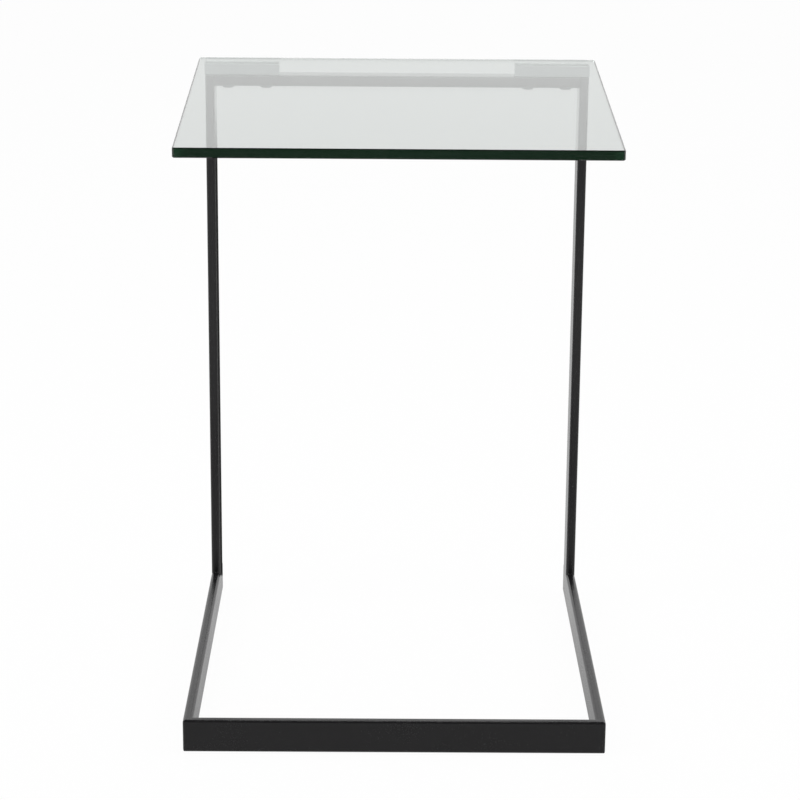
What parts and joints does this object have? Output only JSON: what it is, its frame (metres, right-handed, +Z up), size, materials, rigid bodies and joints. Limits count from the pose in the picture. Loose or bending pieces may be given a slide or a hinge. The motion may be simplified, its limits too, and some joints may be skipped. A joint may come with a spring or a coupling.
{
  "type": "c-shaped side table",
  "caption": "C-shaped side table: a square clear glass top bonded to steel bars on a black flat-tube frame, with a U-shaped base that slides under a seat.",
  "frame": {"origin": "on the floor, under the middle of the whole outline", "axes": "+Z up, -Y towards the open side of the C, +X to the right as seen from that side"},
  "size_m": [0.431, 0.441, 0.629],
  "materials": {
    "glass": "clear float glass, green edge",
    "bond": "clear cured adhesive",
    "frame": "satin black powder coat",
    "bar": "satin bright steel",
    "screw": "black zinc",
    "plug": "moulded black",
    "pad": "matt black"
  },
  "bodies": {
    "root": {"glass_top": "glass", "top_rail": "frame", "front_rail": "frame", "left_bond_film": "bond", "left_glass_bar": "bar", "left_bar_screws": "screw", "left_post": "frame", "left_post_plug": "plug", "left_foot_weld": "frame", "left_side_rail": "frame", "left_rear_plug": "plug", "front_left_pad": "pad", "rear_left_pad": "pad", "right_bond_film": "bond", "right_glass_bar": "bar", "right_bar_screws": "screw", "right_post": "frame", "right_post_plug": "plug", "right_foot_weld": "frame", "right_side_rail": "frame", "right_rear_plug": "plug", "front_right_pad": "pad", "rear_right_pad": "pad"}
  },
  "joints": []
}
